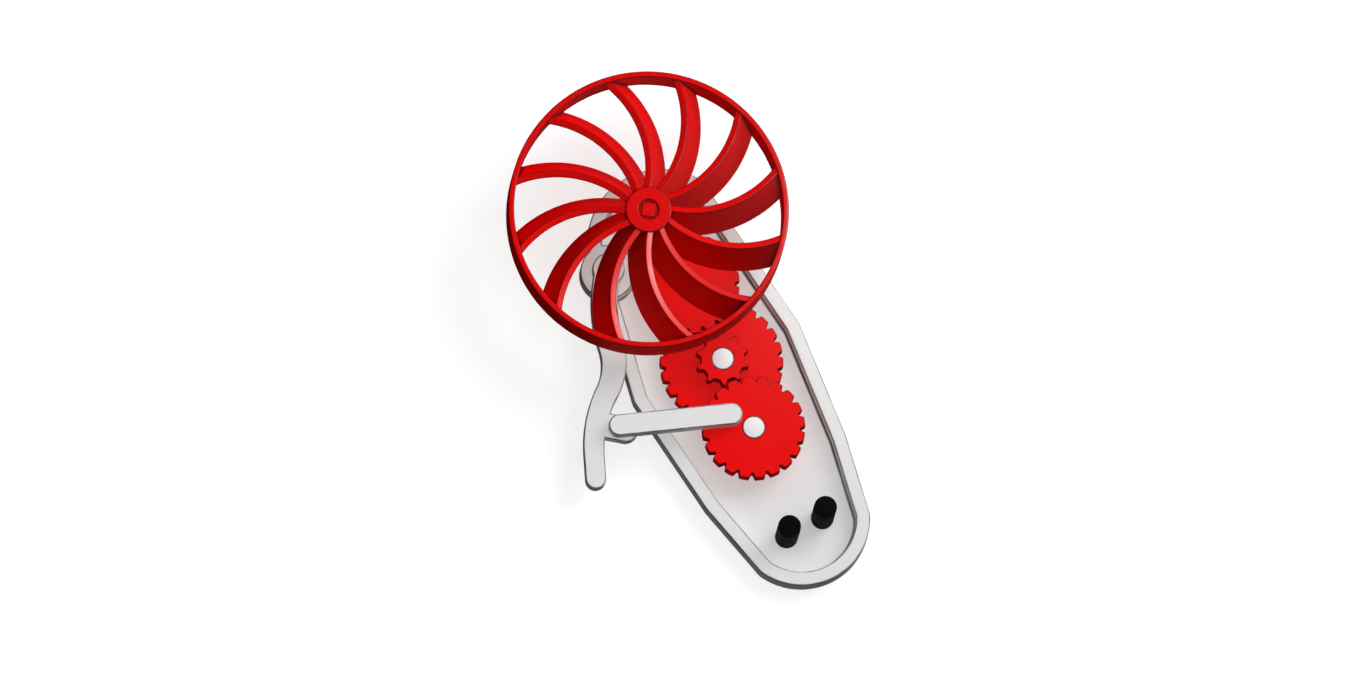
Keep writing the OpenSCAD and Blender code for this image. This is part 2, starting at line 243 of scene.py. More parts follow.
class Solid:
    """A closed mesh in millimetres that is shaped step by step."""

    def __init__(self, mesh: Mesh) -> None:
        """Keeps the mesh that the other methods work on."""
        self.mesh = mesh

    @classmethod
    def prism(cls, outline: Sequence[Vector], low: float, high: float) -> Solid:
        """Raises a flat outline between two levels.

        Args:
            outline: Points of the outline, turning left.
            low: Level of the bottom.
            high: Level of the top.

        Returns:
            The upright solid.
        """
        mesh = bmesh.new()
        mesh.faces.new([mesh.verts.new((p.x, p.y, low)) for p in outline])
        return cls(mesh).raised(high - low)

    @classmethod
    def cylinder(cls, at: Vector, radius: float, low: float, high: float) -> Solid:
        """Upright cylinder between two levels.

        Args:
            at: Axis in the front plane.
            radius: Radius of the cylinder.
            low: Level of the bottom.
            high: Level of the top.

        Returns:
            The cylinder.
        """
        mesh = bmesh.new()
        middle = Matrix.Translation((at.x, at.y, (low + high) / 2))
        bmesh.ops.create_cone(
            mesh, cap_ends=True, segments=CIRCLE_STEPS, radius1=radius, radius2=radius,
            depth=high - low, matrix=middle,
        )
        return cls(mesh)

    @classmethod
    def drill(cls, at: Vector, radius: float, low: float, high: float) -> Solid:
        """Cutter for a round hole right through what lies between two levels."""
        return cls.cylinder(at, radius, low - THROUGH, high + THROUGH)

    @classmethod
    def turned(
        cls, at: Vector, section: Sequence[Point], round_r: float, steps: int = CIRCLE_STEPS
    ) -> Solid:
        """Turns a section round an upright axis.

        Args:
            at: Axis in the front plane.
            section: Radius and level of each corner. One that reaches the axis starts and ends on it.
            round_r: Radius that rounds the section's corners.
            steps: Steps round the axis.

        Returns:
            The turned solid.
        """
        mesh = bmesh.new()
        corners = [mesh.verts.new((at.x + r, at.y, z)) for r, z in section]
        free = [v for v, (r, _) in zip(corners, section) if r > HEIGHT_SLACK]
        draw_section(mesh, corners, free, round_r)
        on_axis = [e for e in mesh.edges if all(v.co.x - at.x < HEIGHT_SLACK for v in e.verts)]
        bmesh.ops.delete(mesh, geom=on_axis, context="EDGES")
        bmesh.ops.spin(
            mesh, geom=mesh.verts[:] + mesh.edges[:], cent=(at.x, at.y, 0.0),
            axis=UP, angle=math.tau, steps=steps, use_merge=True,
        )
        return cls(mesh).cleaned()

    def raised(self, height: float) -> Solid:
        """Extrudes every face of a flat mesh upwards.

        Args:
            height: Thickness to give.

        Returns:
            This solid, closed.
        """
        made = bmesh.ops.extrude_face_region(self.mesh, geom=self.mesh.faces[:])["geom"]
        bmesh.ops.translate(self.mesh, verts=verts_of(made), vec=(0.0, 0.0, height))
        bmesh.ops.recalc_face_normals(self.mesh, faces=self.mesh.faces[:])
        return self

    def cleaned(self) -> Solid:
        """Merges doubles, drops slivers and spare points, and turns the faces outwards.

        Returns:
            This solid, cleaned.
        """
        bmesh.ops.remove_doubles(self.mesh, verts=self.mesh.verts[:], dist=MERGE_MM)
        bmesh.ops.dissolve_degenerate(self.mesh, edges=self.mesh.edges[:], dist=MERGE_MM)
        spare = [
            v for v in self.mesh.verts
            if len(v.link_edges) == 2 and v.calc_edge_angle(math.pi) < STRAIGHT_ANGLE
        ]
        bmesh.ops.dissolve_verts(self.mesh, verts=spare)
        bmesh.ops.recalc_face_normals(self.mesh, faces=self.mesh.faces[:])
        return self

    def joined(self, others: Iterable[Solid], joining: Joining) -> Solid:
        """Adds other solids to this one, or cuts them out of it.

        Args:
            others: The solids to add or to cut out.
            joining: Which of the two is done.

        Returns:
            This solid with the result as its mesh.
        """
        # One at a time, so that slivers of one joint can't spoil the next.
        for other in others:
            base, tool = put_mesh("base", self.mesh), put_mesh("tool", other.mesh)
            step = base.modifiers.new("join", "BOOLEAN")
            step.operation = joining.value
            step.solver = "EXACT"
            step.object = tool
            made = base.evaluated_get(bpy.context.evaluated_depsgraph_get())
            self.mesh.clear()
            self.mesh.from_mesh(made.to_mesh())
            made.to_mesh_clear()
            for holder in (base, tool):
                data = holder.data
                bpy.data.objects.remove(holder)
                bpy.data.meshes.remove(data)
            self.cleaned()
        return self

    def plus(self, *others: Solid) -> Solid:
        """Adds other solids to this one."""
        return self.joined(others, Joining.UNION)

    def minus(self, *others: Solid) -> Solid:
        """Cuts other solids out of this one."""
        return self.joined(others, Joining.DIFFERENCE)

    def flattened(self) -> Solid:
        """Dissolves the edges inside flat faces and merges corners too close to be rounded.

        Returns:
            This solid, ready to be rounded.
        """
        bmesh.ops.dissolve_limit(
            self.mesh, angle_limit=FLAT_ANGLE, verts=self.mesh.verts[:],
            edges=self.mesh.edges[:], delimit={"NORMAL"},
        )
        bmesh.ops.dissolve_degenerate(self.mesh, edges=self.mesh.edges[:], dist=SHORT_MM)
        return self

    def softened(self, level: float, round_r: float, kind: EdgeKind = EdgeKind.OUTER) -> Solid:
        """Rounds the sharp edges that lie at one level.

        Args:
            level: Level of the edges.
            round_r: Radius of the rounding.
            kind: Outer edges, or inner ones such as a floor's.

        Returns:
            This solid with those edges rounded.
        """
        edges = [
            e for e in self.mesh.edges
            if all(abs(v.co.z - level) < HEIGHT_SLACK for v in e.verts)
            and e.is_manifold
            and e.calc_face_angle() > SHARP_ANGLE
            and e.is_convex == (kind is EdgeKind.OUTER)
        ]
        bmesh.ops.bevel(
            self.mesh, geom=edges, offset=round_r, offset_type="OFFSET", segments=ROUND_STEPS,
            profile=0.5, affect="EDGES", clamp_overlap=False, material=-1,
        )
        return self

    def finished(self, name: str) -> bpy.types.Object:
        """Makes the mesh an object in metres, smooth between its creases.

        Args:
            name: Name of the piece.

        Returns:
            The object, at the origin.
        """
        self.cleaned()
        bmesh.ops.scale(self.mesh, vec=(MM, MM, MM), verts=self.mesh.verts[:])
        for face in self.mesh.faces:
            face.smooth = True
        for edge in self.mesh.edges:
            edge.smooth = not edge.is_manifold or edge.calc_face_angle() < CREASE_ANGLE
        made = put_mesh(name, self.mesh)
        self.mesh.free()
        even = made.modifiers.new("even_normals", "WEIGHTED_NORMAL")
        even.keep_sharp = True
        return made


def preset(node: bpy.types.Node, values: Values) -> None:
    """Sets a node's inputs by their names."""
    for name, value in values.items():
        node.inputs[name].default_value = value


class NodeDesk:
    """Lays out the nodes of a material or of the sky.

    Each pair says where a mask starts and where it is full: by the turn of the normal beside
    an edge, by the light in a corner, and by how level a wall or a rounded edge is.
    """

    EDGE_SAMPLES: int = 6
    EDGE_TURNS: Point = (0.998, 0.94)
    CORNER_SAMPLES: int = 8
    CORNER_LIGHT: Point = (0.92, 0.45)
    WALL_LEVELS: Point = (0.25, 0.75)
    ROUND_FADES: Point = (0.1, 0.02)

    def __init__(
        self, owner: bpy.types.Material | bpy.types.World, shader: str = "Principled BSDF"
    ) -> None:
        """Opens the nodes of a material or a world.

        Args:
            owner: The material or world.
            shader: Name of its shader node.
        """
        owner.use_nodes = True
        self.tree = owner.node_tree
        self.shader = self.tree.nodes[shader]
        self.coords = self.add("ShaderNodeTexCoord").outputs

    def add(self, kind: str, values: Values | None = None, **settings: object) -> bpy.types.Node:
        """Adds a node.

        Args:
            kind: Type of the node.
            values: Values of its inputs.
            **settings: Its properties.

        Returns:
            The node.
        """
        node = self.tree.nodes.new(kind)
        for key, setting in settings.items():
            setattr(node, key, setting)
        preset(node, values or {})
        return node

    def join(self, source: Socket, target: Socket) -> None:
        """Links two sockets."""
        self.tree.links.new(source, target)

    def noise(self, size_mm: float, detail: float, stretch: Triple = (1.0, 1.0, 1.0)) -> Socket:
        """Noise with features of a given size.

        Args:
            size_mm: Size of its largest features.
            detail: Number of finer octaves.
            stretch: Scale of the pattern along each axis.

        Returns:
            The noise's value.
        """
        mapping = self.add("ShaderNodeMapping", {"Scale": stretch})
        self.join(self.coords["Object"], mapping.inputs["Vector"])
        noise = self.add("ShaderNodeTexNoise", {"Scale": 1 / (size_mm * MM), "Detail": detail})
        self.join(mapping.outputs["Vector"], noise.inputs["Vector"])
        return noise.outputs["Fac"]

    def ranged(self, value: Socket, low: float, high: float, to_low: float, to_high: float) -> Socket:
        """Maps a value from one range to another, clamped.

        Args:
            value: The value to map.
            low: Start of its range.
            high: End of its range.
            to_low: Result at the start.
            to_high: Result at the end.

        Returns:
            The mapped value.
        """
        ends = {"From Min": low, "From Max": high, "To Min": to_low, "To Max": to_high}
        node = self.add("ShaderNodeMapRange", ends, clamp=True)
        self.join(value, node.inputs["Value"])
        return node.outputs["Result"]

    def combined(self, how: Combine, first: Socket, second: Socket) -> Socket:
        """Makes one value of two.

        Args:
            how: Their sum, their product or the greater one.
            first: First value.
            second: Second value.

        Returns:
            The new value.
        """
        node = self.add("ShaderNodeMath", operation=how.value)
        self.join(first, node.inputs[0])
        self.join(second, node.inputs[1])
        return node.outputs["Value"]

    def mixed(self, factor: Socket, base: Colour | Socket, over: Colour) -> Socket:
        """Mixes a colour into another.

        Args:
            factor: Share of the second colour.
            base: First colour, or a socket with one.
            over: Second colour.

        Returns:
            The mixed colour.
        """
        node = self.add("ShaderNodeMix", data_type="RGBA")
        self.join(factor, node.inputs["Factor"])
        first, second = node.inputs[6], node.inputs[7]
        if isinstance(base, Socket):
            self.join(base, first)
        else:
            first.default_value = (*base, 1.0)
        second.default_value = (*over, 1.0)
        return node.outputs[2]

    def edge_mask(self, radius_mm: float) -> Socket:
        """Value that is 1 beside an edge and 0 on flat faces.

        Args:
            radius_mm: Width of the strip along the edge.

        Returns:
            The mask.
        """
        bevel = self.add("ShaderNodeBevel", {"Radius": radius_mm * MM}, samples=self.EDGE_SAMPLES)
        geometry = self.add("ShaderNodeNewGeometry")
        dot = self.add("ShaderNodeVectorMath", operation="DOT_PRODUCT")
        self.join(bevel.outputs["Normal"], dot.inputs[0])
        self.join(geometry.outputs["Normal"], dot.inputs[1])
        return self.ranged(dot.outputs["Value"], *self.EDGE_TURNS, 0.0, 1.0)

    def corner_shade_mask(self, reach_mm: float) -> Socket:
        """Value that is 1 in inner corners that ambient occlusion finds shaded: the mask of a painted
        shade.

        Args:
            reach_mm: How far the painted shade reaches out of a corner.

        Returns:
            The mask.
        """
        shade = self.add(
            "ShaderNodeAmbientOcclusion", {"Distance": reach_mm * MM},
            samples=self.CORNER_SAMPLES, only_local=True,
        )
        return self.ranged(shade.outputs["AO"], *self.CORNER_LIGHT, 0.0, 1.0)

    def flank_mask(self, share: float) -> Socket:
        """Value that is a share on walls along the axle and 0 on the faces across it."""
        return self.ranged(self.levelness(), *self.WALL_LEVELS, share, 0.0)

    def round_mask(self, low: float, high: float) -> Socket:
        """Value that is 1 on the rounded edges between level faces and walls.

        Args:
            low: Levelness at the rounding's lower end.
            high: Levelness at the rounding's upper end.

        Returns:
            The mask.
        """
        level = self.levelness()
        low_fade, high_fade = self.ROUND_FADES
        above = self.ranged(level, low - low_fade, low, 0.0, 1.0)
        below = self.ranged(level, high, high + high_fade, 1.0, 0.0)
        return self.combined(Combine.PRODUCT, above, below)

    def levelness(self) -> Socket:
        """Measures how level the surface is.

        Returns:
            Value that is 1 on faces across the axles and 0 on walls along them.
        """
        level = self.add("ShaderNodeMath", operation="ABSOLUTE")
        self.join(self.upward("Normal"), level.inputs[0])
        return level.outputs["Value"]

    def upward(self, kind: str) -> Socket:
        """Takes the upward part of a texture coordinate.

        Args:
            kind: Name of the coordinate.

        Returns:
            Its part along Z.
        """
        split = self.add("ShaderNodeSeparateXYZ")
        self.join(self.coords[kind], split.inputs["Vector"])
        return split.outputs["Z"]

    def bump(self, height: Socket, strength: float, depth_mm: float) -> None:
        """Bumps the surface.

        Args:
            height: Height of the bumps, from 0 to 1.
            strength: How clearly they show.
            depth_mm: Depth of the bumps.
        """
        node = self.add("ShaderNodeBump", {"Strength": strength, "Distance": depth_mm * MM})
        self.join(height, node.inputs["Height"])
        self.join(node.outputs["Normal"], self.shader.inputs["Normal"])


@dataclass(frozen=True)
class Finish:
    """A finish of the part, whose material is laid out once and shared."""

    name: str
    slot: Slot

    def material(self) -> bpy.types.Material:
        """Gives the finish's material, laid out at its first use.

        Returns:
            The material.
        """
        known = bpy.data.materials.get(self.name)
        if known:
            return known
        made = bpy.data.materials.new(self.name)
        self.lay_out(NodeDesk(made))
        return made

    def lay_out(self, desk: NodeDesk) -> None:
        """Lays out the finish's nodes."""
        raise NotImplementedError


@dataclass(frozen=True)
class MouldedFinish(Finish):
    """A moulded plastic with grain and flow marks, painted shade in its inner corners and dark lines
    painted along its edges and roundings.
    """

    colour: Colour
    flow_colour: Colour
    # The painted edge colour lies beside edges and on roundings. On white and red it is dark: painted
    # shade where the roundings would catch highlights.
    painted_edge_colour: Colour
    corner_shade_colour: Colour
    roughness: float
    gloss: float
    grain_mm: float
    grain_depth_mm: float
    grain_detail: float = 2.0
    grain_strength: float = 0.6
    flow_mm: float = 22.0
    flow_detail: float = 3.0
    flow_stretch: Triple = (1.0, 0.45, 1.0)
    scuff_mm: float = 3.0
    scuff_detail: float = 5.0
    scuff_stretch: Triple = (1.0, 0.2, 1.0)
    scuff_rough: Point = (-0.05, 0.06)
    edge_mm: float = 0.5
    # How much of the painted edge colour is laid on, and the least share where the scuff noise thins
    # it.
    painted_edge_share: float = 0.9
    painted_edge_least: float = 0.6
    edge_matt: float = 0.2
    round_span: Point = (0.2, 0.95)
    # Painted shade in inner corners: its reach, its share, and the least share where the flow noise
    # thins it.
    corner_mm: float = 1.4
    corner_shade_share: float = 0.5
    corner_shade_least: float = 0.7
    # Painted shade on the walls along the axle, used on the gears.
    wall_shade_colour: Colour = (0.25, 0.0, 0.0)
    wall_shade_share: float = 0.0
    wall_matt: float = 0.0

    def lay_out(self, desk: NodeDesk) -> None:
        """Lays out the plastic's colour, roughness and grain.

        Args:
            desk: The material's node desk.
        """
        flow = desk.noise(self.flow_mm, self.flow_detail, self.flow_stretch)
        scuff = desk.noise(self.scuff_mm, self.scuff_detail, self.scuff_stretch)
        # Painted shade along edges: the strips beside edges and the roundings themselves are darkened.
        # This puts out the highlights that the roundings would catch.
        strip, rounding = desk.edge_mask(self.edge_mm), desk.round_mask(*self.round_span)
        painted_edge_amount = desk.ranged(scuff, *NARROW_BAND, self.painted_edge_share * self.painted_edge_least, self.painted_edge_share)
        edge = desk.combined(Combine.GREATER, strip, rounding)
        edge = desk.combined(Combine.PRODUCT, edge, painted_edge_amount)
        # Painted shade: inner corners that ambient occlusion finds shaded are darkened, by an amount
        # that varies over the surface.
        corner_shade_amount = desk.ranged(flow, *WIDE_BAND, self.corner_shade_share * self.corner_shade_least, self.corner_shade_share)
        corner = desk.combined(Combine.PRODUCT, desk.corner_shade_mask(self.corner_mm), corner_shade_amount)
        colour = desk.mixed(desk.ranged(flow, *WIDE_BAND, 0.0, 1.0), self.colour, self.flow_colour)
        colour = desk.mixed(corner, colour, self.corner_shade_colour)
        # Painted shade: walls along the axle are darkened, standing for the shade that they lie in.
        if self.wall_shade_share:
            colour = desk.mixed(desk.flank_mask(self.wall_shade_share), colour, self.wall_shade_colour)
        colour = desk.mixed(edge, colour, self.painted_edge_colour)
        desk.join(colour, desk.shader.inputs["Base Color"])
        smooth, rubbed = (self.roughness + change for change in self.scuff_rough)
        rough = desk.combined(
            Combine.SUM,
            desk.ranged(scuff, *WIDE_BAND, smooth, rubbed),
            desk.ranged(edge, 0.0, 1.0, 0.0, self.edge_matt),
        )
        if self.wall_matt:
            rough = desk.combined(Combine.SUM, rough, desk.flank_mask(self.wall_matt))
        desk.join(rough, desk.shader.inputs["Roughness"])
        grain = desk.noise(self.grain_mm, self.grain_detail)
        desk.bump(grain, self.grain_strength, self.grain_depth_mm)
        preset(desk.shader, {"Specular IOR Level": self.gloss})


@dataclass(frozen=True)
class SteelFinish(Finish):
    """A drawn steel wire with fine lines along it."""

    colour: Colour
    dull_colour: Colour
    roughness: float
    line_mm: float
    line_detail: float = 4.0
    line_stretch: Triple = (1.0, 1.0, 0.05)
    line_rough: Point = (-0.06, 0.08)
    line_strength: float = 0.4
    line_depth_mm: float = 0.01

    def lay_out(self, desk: NodeDesk) -> None:
        """Lays out the steel's colour, roughness and lines.

        Args:
            desk: The material's node desk.
        """
        lines = desk.noise(self.line_mm, self.line_detail, self.line_stretch)
        dull = desk.ranged(lines, *NARROW_BAND, 0.0, 1.0)
        desk.join(desk.mixed(dull, self.colour, self.dull_colour), desk.shader.inputs["Base Color"])
        smooth, rubbed = (self.roughness + change for change in self.line_rough)
        desk.join(desk.ranged(lines, *WIDE_BAND, smooth, rubbed), desk.shader.inputs["Roughness"])
        desk.bump(lines, self.line_strength, self.line_depth_mm)
        preset(desk.shader, {"Metallic": 1.0})


def grey(level: float) -> Colour:
    """Neutral colour of one level."""
    return (level, level, level)


def red(level: float) -> Colour:
    """Full red of one level."""
    return (level, 0.0005, 0.0005)


WHITE_PLASTIC = MouldedFinish(
    name="white_moulded", slot=Slot.WHITE, colour=grey(0.69), flow_colour=(0.66, 0.66, 0.655),
    painted_edge_colour=grey(0.04), corner_shade_colour=grey(0.30), roughness=0.5, gloss=0.3,
    grain_mm=0.35, grain_depth_mm=0.03,
)
# The tray's white plastic, painted lighter on the axles as painted light for the highlight on their
# ends.
AXLE_PLASTIC_LIT = replace(
    WHITE_PLASTIC, name="white_moulded_lit", colour=grey(0.74), flow_colour=(0.71, 0.71, 0.705)
)
RED_PLASTIC = MouldedFinish(
    name="red_moulded", slot=Slot.RED, colour=red(0.66), flow_colour=red(0.62),
    painted_edge_colour=(0.03, 0.0, 0.0), corner_shade_colour=(0.12, 0.0, 0.0), roughness=0.36, gloss=0.08,
    grain_mm=0.3, grain_depth_mm=0.025, corner_shade_share=0.7, wall_matt=0.55, round_span=(0.5, 0.9),
)
# The fan's red, painted lighter on the gears as painted light for the light they catch, with painted
# shade on their walls.
RED_LIT_SHADED_WALLS = replace(
    RED_PLASTIC, name="red_moulded_lit_shaded_walls", colour=red(0.75), flow_colour=red(0.71),
    wall_shade_share=0.85, round_span=(0.2, 0.95), roughness=0.46, gloss=0.05,
)
BLACK_PLASTIC = MouldedFinish(
    name="black_moulded", slot=Slot.BLACK, colour=grey(0.002), flow_colour=grey(0.003),
    painted_edge_colour=grey(0.008), corner_shade_colour=grey(0.001), roughness=0.7, gloss=0.02,
    grain_mm=0.3, grain_depth_mm=0.015,
)
DRAWN_STEEL = SteelFinish(
    name="drawn_steel", slot=Slot.STEEL, colour=(0.62, 0.63, 0.65), dull_colour=(0.42, 0.43, 0.45),
    roughness=0.32, line_mm=0.12,
)


def dress(piece: bpy.types.Object, finish: Finish, body: str, *nodes: str) -> None:
    """Gives a new piece its finish, its body and the nodes that it stands for.

    Args:
        piece: The finished object.
        finish: Its finish.
        body: The body that it moves with.
        *nodes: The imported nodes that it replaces.
    """
    piece.data.materials.append(finish.material())
    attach(piece, body)
    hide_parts(*nodes)
    LOG.info("%s: %d faces on %s", piece.name, len(piece.data.polygons), body)


def repaint(nodes: dict[str, bpy.types.Object], finish: Finish, *names: str) -> None:
    """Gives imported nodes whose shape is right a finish.

    Args:
        nodes: The frame's nodes.
        finish: Their new finish.
        *names: The nodes to paint.
    """
    for name in names:
        node = nodes[name]
        node.data.materials.clear()
        node.data.materials.append(finish.material())
        LOG.info("%s: packed shape in %s", name, finish.name)


@dataclass
class Tray:
    """The open grip tray with its rim wall, ear, pin seats and two posts.

    The fan end's widths and shift are measured from the fan's axis.
    """

    wall: float = 4.15
    floor: float = 2.0
    grip_r: float = 20.4
    grip_rise: float = 0.7
    grip_side_angle: float = 25.0
    grip_corner: Point = (23.5, 16.0)
    right_shoulder: Point = (27.6436, 52.0243)
    left_shoulder: Point = (-26.8564, 54.5243)
    fan_right_w: float = 21.7
    fan_left_w: float = 18.5
    fan_end_r: float = 22.3
    fan_end_shift: Point = (2.0, -7.6)
    end_steps: int = 60
    ear_r: float = 8.1
    rim_round: float = 0.45
    floor_round: float = 0.9
    axle_r: float = AXLE_R
    bush_r: float = 4.5
    pin_r: float = LEVER_PIN_R
    posts: tuple[str, ...] = ("post_left", "post_right")
    spigot_r: float = 2.0
    post_r: float = 3.4
    post_round: float = 0.45

    def outline(self, inset: float) -> list[Vector]:
        """Outline of the tray without its ear, moved inwards.

        Args:
            inset: Distance to move it inwards.

        Returns:
            The outline, turning left from the grip's right side.
        """
        grip = Vector((0.0, self.grip_rise))
        axis = place_of("fan_shaft")
        end = axis + Vector(self.fan_end_shift)
        end_r = self.fan_end_r - inset
        grip_r = self.grip_r - inset
        corner_x, corner_y = self.grip_corner
        right = [Vector((corner_x, corner_y)), Vector(self.right_shoulder)]
        left = [Vector(self.left_shoulder), Vector((-corner_x, corner_y))]
        right_side = axis + Vector((self.fan_right_w, 0.0))
        left_side = axis - Vector((self.fan_left_w, 0.0))
        right_start = grip + self.grip_r * flat(-self.grip_side_angle)
        left_start = grip + self.grip_r * flat(180 + self.grip_side_angle)
        low_right = self._inset(right_start, right[0], right[1], inset)
        high_right = self._inset(right[0], right[1], right_side, inset)
        high_left = self._inset(left_side, left[0], left[1], inset)
        low_left = self._inset(left[0], left[1], left_start, inset)
        cap = self._round(
            end,
            self._meeting(high_right, right_side - right[1], end, end_r),
            self._meeting(high_left, left_side - left[0], end, end_r),
        )
        bottom = self._round(
            grip,
            self._meeting(low_left, left_start - left[1], grip, grip_r),
            self._meeting(low_right, right_start - right[0], grip, grip_r),
        )
        return [*bottom, low_right, high_right, *cap, high_left, low_left]

    @staticmethod
    def _inset(before: Vector, at: Vector, after: Vector, inset: float) -> Vector:
        """Corner between two sides that are both moved inwards."""
        first, second = left_of(before, at), left_of(at, after)
        return at + inset * (first + second) / (1 + first.dot(second))

    def _round(self, centre: Vector, start: Vector, stop: Vector) -> list[Vector]:
        """Points of an arc that turns left from one point to another."""
        first, last = (math.degrees(math.atan2(p.y - centre.y, p.x - centre.x)) for p in (start, stop))
        return arc(centre, (start - centre).length, first, first + (last - first) % 360, self.end_steps)

    @staticmethod
    def _meeting(start: Vector, along: Vector, centre: Vector, radius: float) -> Vector:
        """Finds the far crossing of a line with a circle.

        Args:
            start: A point of the line.
            along: Direction of the line.
            centre: Middle of the circle.
            radius: Radius of the circle.

        Returns:
            The crossing.
        """
        way = along.normalized()
        offset = start - centre
        near = -way.dot(offset)
        return start + way * (near + math.sqrt(radius**2 - offset.length_squared + near**2))

    def build(self) -> bpy.types.Object:
        """Moulds the tray.

        Returns:
            The tray's object.
        """
        _, rim = layer_of("body_tray")
        pivot = place_of("lever_pin")
        shell = Solid.prism(self.outline(0.0), 0.0, rim)
        shell.plus(Solid.cylinder(pivot, self.ear_r, 0.0, rim))
        pocket = Solid.prism(self.outline(self.wall), self.floor, rim + THROUGH)
        pocket.minus(Solid.cylinder(pivot, self.ear_r, 0.0, rim + 2 * THROUGH))
        shell.minus(pocket).flattened()
        shell.softened(rim, self.rim_round).softened(0.0, self.rim_round)
        shell.softened(self.floor, self.floor_round, EdgeKind.INNER)
        seats = [(place_of(node), self.axle_r) for node in AXLES]
        seats += [(place_of("fan_shaft"), self.bush_r), (pivot, self.pin_r)]
        seats += [(place_of(node), self.spigot_r) for node in self.posts]
        shell.minus(*(Solid.drill(at, r + SEAT_GAP, 0.0, rim) for at, r in seats))
        return shell.finished("tray_shell")

    def build_post(self, node: str) -> bpy.types.Object:
        """Turns one of the two posts.

        Args:
            node: The post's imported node.

        Returns:
            The post's object.
        """
        low, high = layer_of(node)
        section = [
            (0.0, low), (self.spigot_r, low), (self.spigot_r, self.floor),
            (self.post_r, self.floor), (self.post_r, high), (0.0, high),
        ]
        return Solid.turned(place_of(node), section, self.post_round).finished(f"{node}_turned")

    def make(self, nodes: dict[str, bpy.types.Object]) -> None:
        """Builds and dresses the tray and its posts, and paints its sleeves.

        Args:
            nodes: The frame's nodes.
        """
        dress(self.build(), WHITE_PLASTIC, "tray", "body_tray")
        for node in self.posts:
            dress(self.build_post(node), BLACK_PLASTIC, "tray", node)
        repaint(nodes, WHITE_PLASTIC, "fan_bush", "crank_spacer")


class Toothing(Enum):
    """The two tooth forms: broad teeth on a wheel, slim ones on a pinion."""

    WHEEL = "wheel"
    PINION = "pinion"


@dataclass(frozen=True)
class Gear:
    """One toothed disc of the train, with the direction of one of its notches."""

    node: str
    axle: str
    body: str
    teeth: int
    toothing: Toothing
    notch: float


